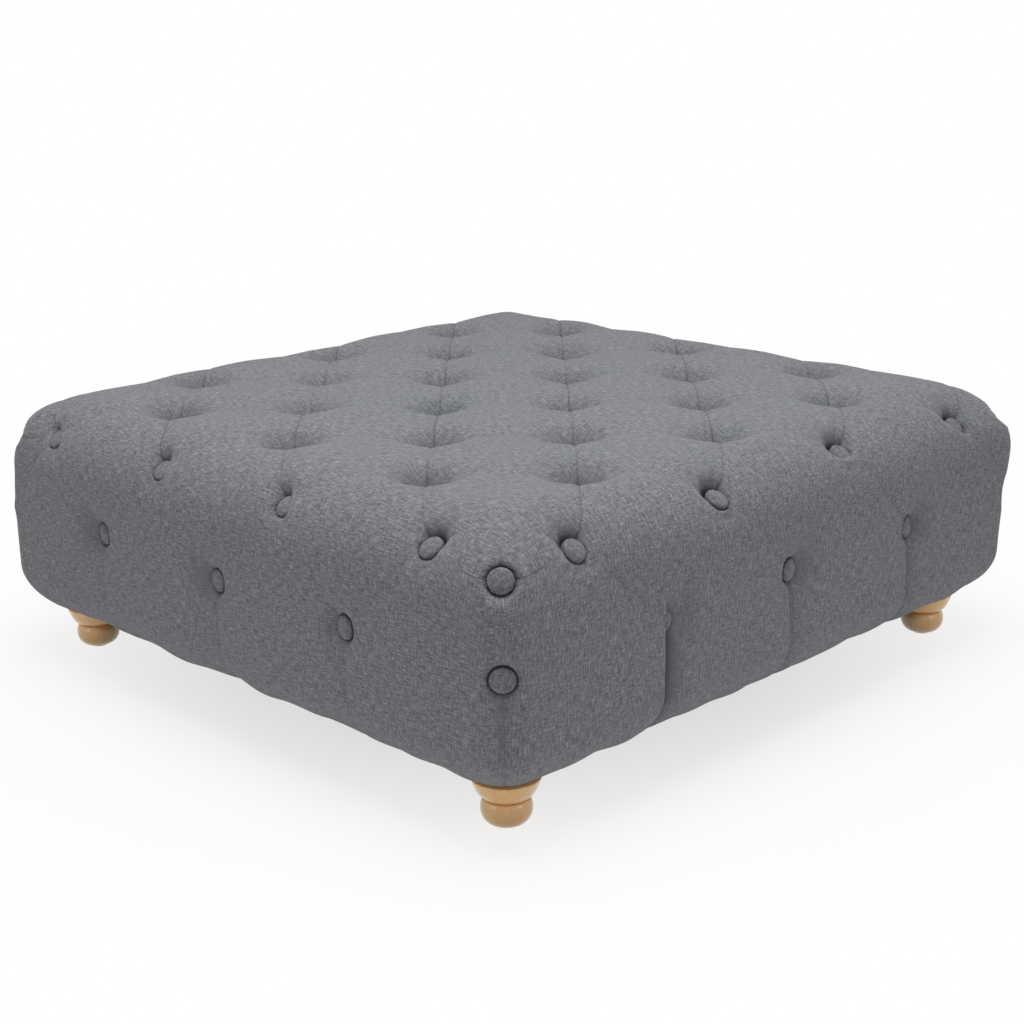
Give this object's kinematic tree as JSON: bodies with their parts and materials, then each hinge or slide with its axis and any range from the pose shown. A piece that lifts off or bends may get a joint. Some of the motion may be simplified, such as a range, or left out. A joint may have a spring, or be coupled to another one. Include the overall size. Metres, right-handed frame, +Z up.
{
  "type": "pouf",
  "caption": "Large square deep-buttoned pouf in linen-look fabric, with tufted top and sides, on turned wooden bun feet that screw into a timber frame.",
  "frame": {"origin": "on the floor, under the middle of the body", "axes": "+Z up; +X and -Y are the two sides that meet at the corner nearest the camera in the picture"},
  "size_m": [0.9, 0.9, 0.332],
  "materials": {
    "cover_fabric": "matte",
    "button_fabric": "matte",
    "foam": "matte",
    "twine": "satin",
    "zinc_steel": "satin",
    "plywood": "matte",
    "pine": "matte",
    "dowel_beech": "matte",
    "insert_brass": "satin",
    "dust_cloth": "matte",
    "foot_wood": "gloss",
    "felt": "matte"
  },
  "bodies": {
    "padded_body": {"top_cover": "cover_fabric", "front_cover": "cover_fabric", "right_cover": "cover_fabric", "back_cover": "cover_fabric", "left_cover": "cover_fabric", "top_foam": "foam", "front_foam": "foam", "right_foam": "foam", "back_foam": "foam", "left_foam": "foam", "top_buttons": "button_fabric", "edge_buttons": "button_fabric", "side_buttons": "button_fabric", "corner_buttons": "button_fabric", "top_twines": "twine", "edge_twines": "twine", "side_twines": "twine", "corner_pins": "zinc_steel", "twine_staples": "zinc_steel", "deck_panel": "plywood", "front_rail": "pine", "right_rail": "pine", "back_rail": "pine", "left_rail": "pine", "corner_posts": "pine", "front_stretcher": "pine", "back_stretcher": "pine", "rail_dowels": "dowel_beech", "deck_screws": "zinc_steel", "stretcher_screws": "zinc_steel", "threaded_inserts": "insert_brass", "dust_cover": "dust_cloth", "hem_staples": "zinc_steel", "dust_cover_staples": "zinc_steel"},
    "front_right_leg": {"front_right_foot": "foot_wood", "front_right_bolt": "zinc_steel", "front_right_pad": "felt"},
    "back_right_leg": {"back_right_foot": "foot_wood", "back_right_bolt": "zinc_steel", "back_right_pad": "felt"},
    "back_left_leg": {"back_left_foot": "foot_wood", "back_left_bolt": "zinc_steel", "back_left_pad": "felt"},
    "front_left_leg": {"front_left_foot": "foot_wood", "front_left_bolt": "zinc_steel", "front_left_pad": "felt"}
  },
  "joints": [
    {"name": "front_right_foot_turn", "type": "hinge", "parent": "padded_body", "child": "front_right_leg", "pos_m": [0.375, -0.375, 0], "axis": [0, 0, -1], "range_deg": [0, 360]},
    {"name": "back_right_foot_turn", "type": "hinge", "parent": "padded_body", "child": "back_right_leg", "pos_m": [0.375, 0.375, 0], "axis": [0, 0, -1], "range_deg": [0, 360]},
    {"name": "back_left_foot_turn", "type": "hinge", "parent": "padded_body", "child": "back_left_leg", "pos_m": [-0.375, 0.375, 0], "axis": [0, 0, -1], "range_deg": [0, 360]},
    {"name": "front_left_foot_turn", "type": "hinge", "parent": "padded_body", "child": "front_left_leg", "pos_m": [-0.375, -0.375, 0], "axis": [0, 0, -1], "range_deg": [0, 360]}
  ]
}
